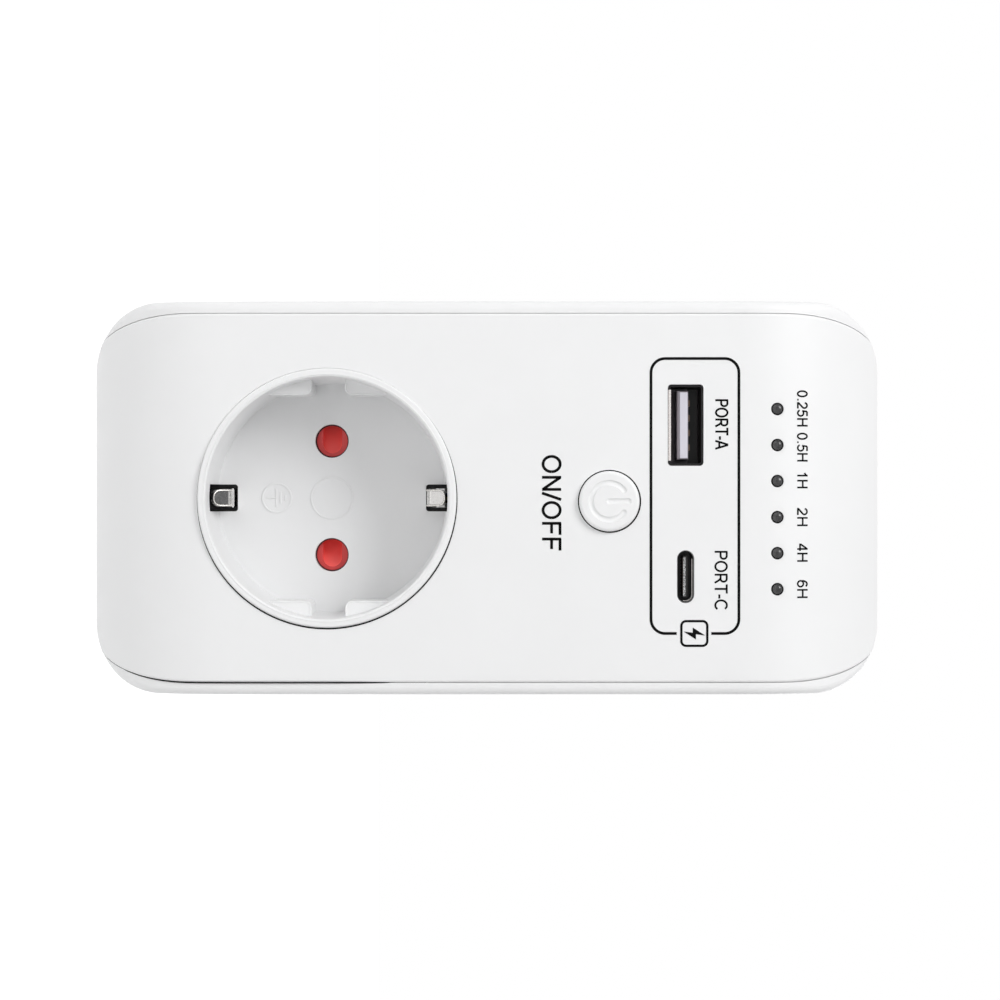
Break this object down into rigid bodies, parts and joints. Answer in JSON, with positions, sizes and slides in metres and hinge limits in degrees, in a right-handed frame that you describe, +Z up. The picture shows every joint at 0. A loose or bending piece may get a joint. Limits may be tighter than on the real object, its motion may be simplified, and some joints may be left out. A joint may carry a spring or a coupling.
{
  "type": "plug-in timer switch",
  "caption": "Plug-in mains timer adaptor: side-earthed plug behind, shuttered socket, power button, USB outlets and timer lamps in front.",
  "frame": {"origin": "middle of the plug's pin face, on the shared axis of the plug and the front socket", "axes": "+Y into the wall along the pins, +Z up in use, +X to the right as seen from the room"},
  "size_m": [0.064, 0.0802, 0.1296],
  "materials": {
    "white_plastic": "satin moulded plastic",
    "white_button": "satin moulded plastic",
    "shutter_red": "satin moulded plastic",
    "dark_plastic": "matt moulded plastic",
    "pale_plastic": "satin moulded plastic",
    "nickel": "nickel plated",
    "brass": "plain",
    "steel": "zinc plated",
    "board_green": "solder mask",
    "lamp_lens": "tinted lens",
    "relay_blue": "moulded case",
    "film_yellow": "moulded case",
    "can_black": "printed sleeve",
    "ferrite": "sintered",
    "winding_tape": "wound tape",
    "varistor_blue": "dipped coating",
    "ceramic": "fired body"
  },
  "bodies": {
    "housing": {"rear_shell": "white_plastic", "front_cover": "white_plastic", "socket_insert": "white_plastic", "plug_base": "white_plastic", "left_pin": "nickel", "right_pin": "nickel", "upper_earth_strip": "nickel", "lower_earth_strip": "nickel", "earth_bridge": "nickel", "contact_carrier": "white_plastic", "left_contact": "brass", "right_contact": "brass", "left_pin_bar": "brass", "right_pin_bar": "brass", "left_contact_bar": "brass", "right_contact_bar": "brass", "shutter_spring": "steel", "main_board": "board_green", "relay": "relay_blue", "film_capacitor": "film_yellow", "input_capacitor": "can_black", "output_capacitor": "can_black", "transformer_core": "ferrite", "transformer_winding": "winding_tape", "rectifier": "dark_plastic", "fuse": "ceramic", "varistor": "varistor_blue", "usb_chip": "dark_plastic", "board_header": "dark_plastic", "control_board": "board_green", "timer_chip": "dark_plastic", "lamp_holder": "dark_plastic", "switch_body": "dark_plastic", "usb_a_shell": "steel", "usb_a_tongue": "pale_plastic", "usb_a_contacts": "brass", "usb_c_shell": "steel", "usb_c_tongue": "dark_plastic", "usb_c_contacts": "brass", "case_screws": "steel", "carrier_screws": "steel", "main_board_screws": "steel", "control_board_screws": "steel", "timer_lamp_1": "lamp_lens", "timer_lamp_2": "lamp_lens", "timer_lamp_3": "lamp_lens", "timer_lamp_4": "lamp_lens", "timer_lamp_5": "lamp_lens", "timer_lamp_6": "lamp_lens"},
    "button": {"power_button": "white_button", "switch_plunger": "dark_plastic"},
    "shutter": {"safety_shutter": "shutter_red"}
  },
  "joints": [
    {"name": "button_press", "type": "slide", "parent": "housing", "child": "button", "axis": [0, 1, 0], "range_m": [0, 0.0004], "stiffness_N_per_m": 1500, "springref_m": -0.0008},
    {"name": "shutter_slide", "type": "slide", "parent": "housing", "child": "shutter", "axis": [1, 0, 0], "range_m": [0, 0.0059], "stiffness_N_per_m": 120, "springref_m": -0.004, "deforming": ["shutter_spring"]}
  ]
}
